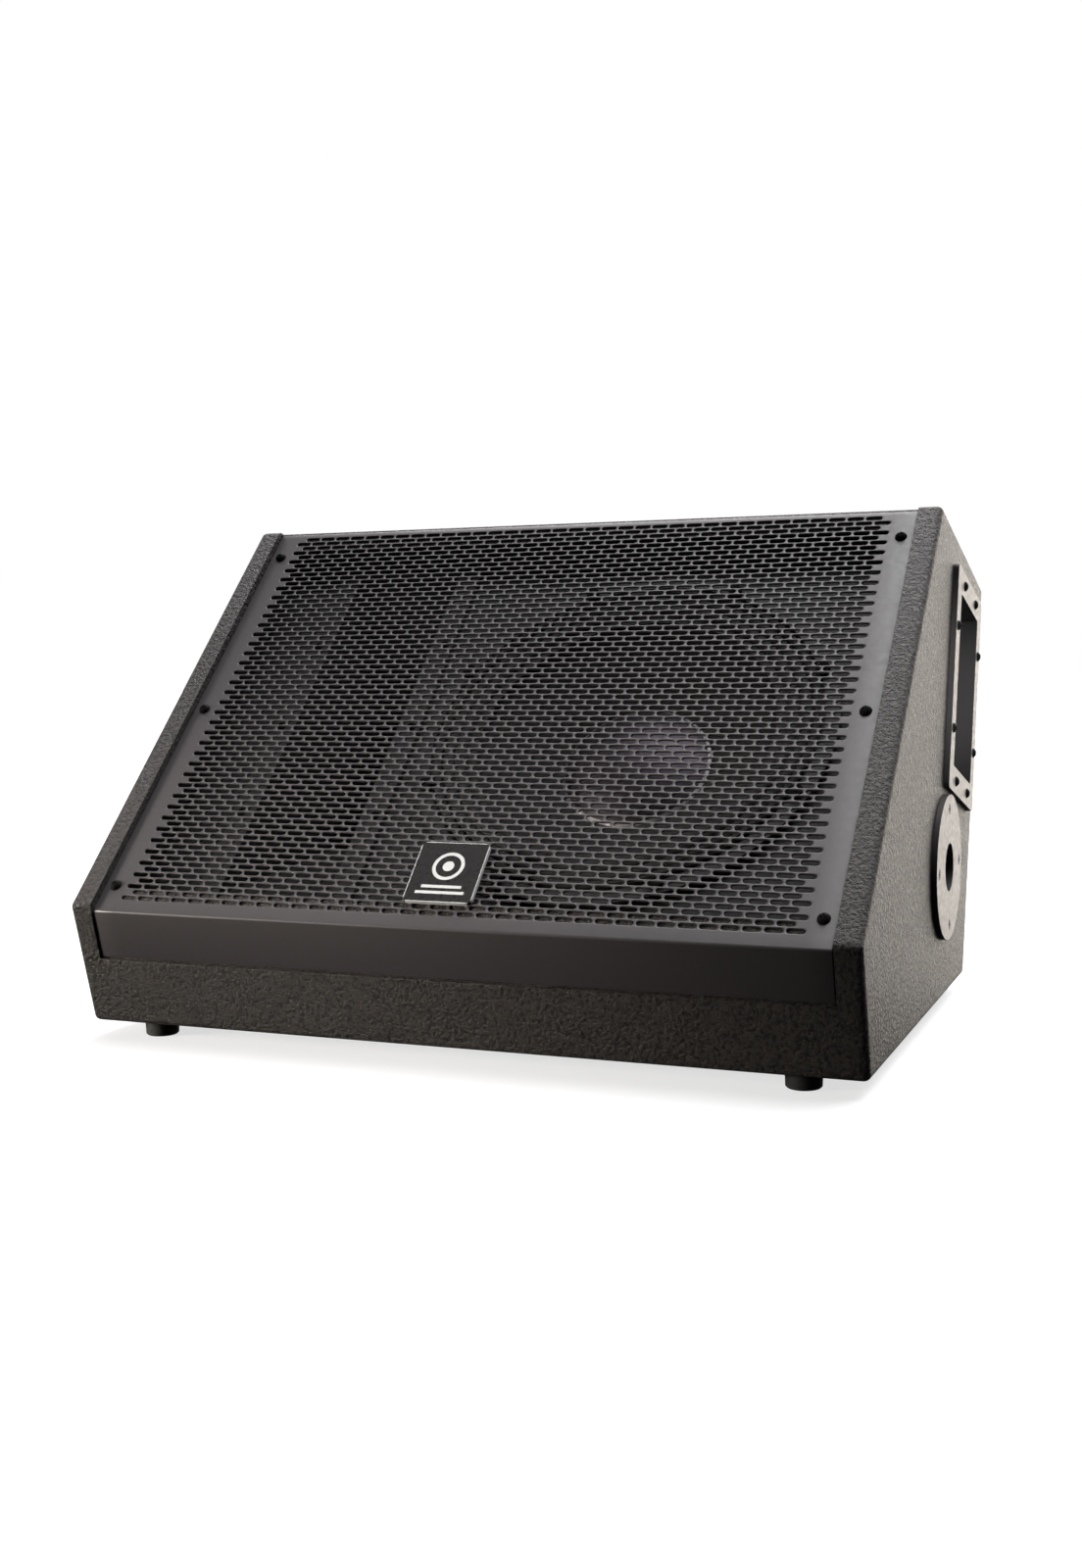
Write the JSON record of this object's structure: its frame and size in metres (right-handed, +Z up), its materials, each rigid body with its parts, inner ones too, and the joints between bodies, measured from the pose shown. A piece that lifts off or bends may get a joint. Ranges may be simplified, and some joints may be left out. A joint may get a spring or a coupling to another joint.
{
  "type": "stage monitor wedge",
  "caption": "Sloping two-way floor loudspeaker with a folded slotted grille, side handle, pole socket, rubber feet and rear input plate.",
  "frame": {"origin": "middle of the whole object's footprint, on the floor under the feet", "axes": "+X along the cabinet to the right as the listener sees it, +Y from the front to the back, +Z up"},
  "size_m": [0.5864, 0.4818, 0.3812],
  "materials": {
    "textured_paint": "textured charcoal paint on plywood",
    "baffle_paint": "matt black paint on plywood",
    "grille_steel": "satin black powder coat",
    "black_screw": "black oxide",
    "badge_face": "satin black, plain",
    "handle_steel": "black powder coat",
    "bar_steel": "brushed",
    "grip_rubber": "matt, ribbed",
    "foot_rubber": "matt",
    "zinc_steel": "zinc plated",
    "cast_frame": "black painted casting",
    "gasket_rubber": "matt",
    "motor_steel": "zinc plated",
    "ferrite": "sintered ferrite",
    "surround_cloth": "doped cloth",
    "spider_cloth": "resin-dipped cloth",
    "cone_paper": "coated black pulp",
    "dome_aluminium": "spun",
    "coil_copper": "enamelled copper",
    "horn_plastic": "moulded, fine grain",
    "driver_cover_metal": "black painted",
    "input_steel": "satin black",
    "socket_plastic": "moulded",
    "nut_metal": "nickel plated",
    "lever_plastic": "moulded",
    "circuit_board": "solder mask",
    "nylon": "moulded",
    "capacitor_film": "wrapped film",
    "resistor_ceramic": "cast ceramic",
    "lead_black": "insulated wire",
    "lead_red": "insulated wire",
    "wadding": "polyester wadding"
  },
  "bodies": {
    "cabinet": {"side_panel_left": "textured_paint", "side_panel_right": "textured_paint", "top_panel": "textured_paint", "back_panel": "textured_paint", "bottom_panel": "textured_paint", "front_board": "textured_paint", "baffle_board": "baffle_paint", "grille_cleats": "baffle_paint", "grille": "grille_steel", "grille_screws": "black_screw", "badge": "badge_face", "handle_dish": "handle_steel", "handle_bar": "bar_steel", "handle_grip": "grip_rubber", "handle_screws": "black_screw", "pole_cup": "handle_steel", "pole_cup_screws": "black_screw", "feet": "foot_rubber", "foot_screws": "zinc_steel", "woofer_frame": "cast_frame", "woofer_gasket": "gasket_rubber", "woofer_screws": "black_screw", "woofer_tee_nuts": "zinc_steel", "woofer_top_plate": "motor_steel", "woofer_magnet": "ferrite", "woofer_pole_piece": "motor_steel", "woofer_surround": "surround_cloth", "woofer_spider": "spider_cloth", "horn": "horn_plastic", "horn_screws": "black_screw", "driver_front_plate": "motor_steel", "driver_magnet": "ferrite", "driver_rear_cover": "driver_cover_metal", "driver_bolts": "zinc_steel", "input_plate": "input_steel", "input_screws": "black_screw", "twist_lock_sockets": "socket_plastic", "jack_sockets": "socket_plastic", "jack_nuts": "nut_metal", "switch_body": "socket_plastic", "crossover_board": "circuit_board", "crossover_standoffs": "nylon", "crossover_coils": "coil_copper", "crossover_capacitors": "capacitor_film", "crossover_resistors": "resistor_ceramic", "woofer_leads": "lead_black", "horn_leads": "lead_red", "input_leads": "lead_black", "damping_pad": "wadding"},
    "cone_assembly": {"woofer_cone": "cone_paper", "woofer_dust_cap": "dome_aluminium", "woofer_voice_coil": "coil_copper"},
    "diaphragm": {"driver_diaphragm": "dome_aluminium"},
    "mode_switch": {"switch_lever": "lever_plastic"}
  },
  "joints": [
    {"name": "cone_travel", "type": "slide", "parent": "cabinet", "child": "cone_assembly", "axis": [0, -0.7009, 0.7133], "range_m": [-0.006, 0.006], "stiffness_N_per_m": 6000, "deforming": ["woofer_surround", "woofer_spider"]},
    {"name": "diaphragm_travel", "type": "slide", "parent": "cabinet", "child": "diaphragm", "axis": [0, -0.7009, 0.7133], "range_m": [-0.0003, 0.0003], "stiffness_N_per_m": 800},
    {"name": "mode_switch_slide", "type": "slide", "parent": "cabinet", "child": "mode_switch", "axis": [1, 0, 0], "range_m": [0, 0.004]}
  ]
}
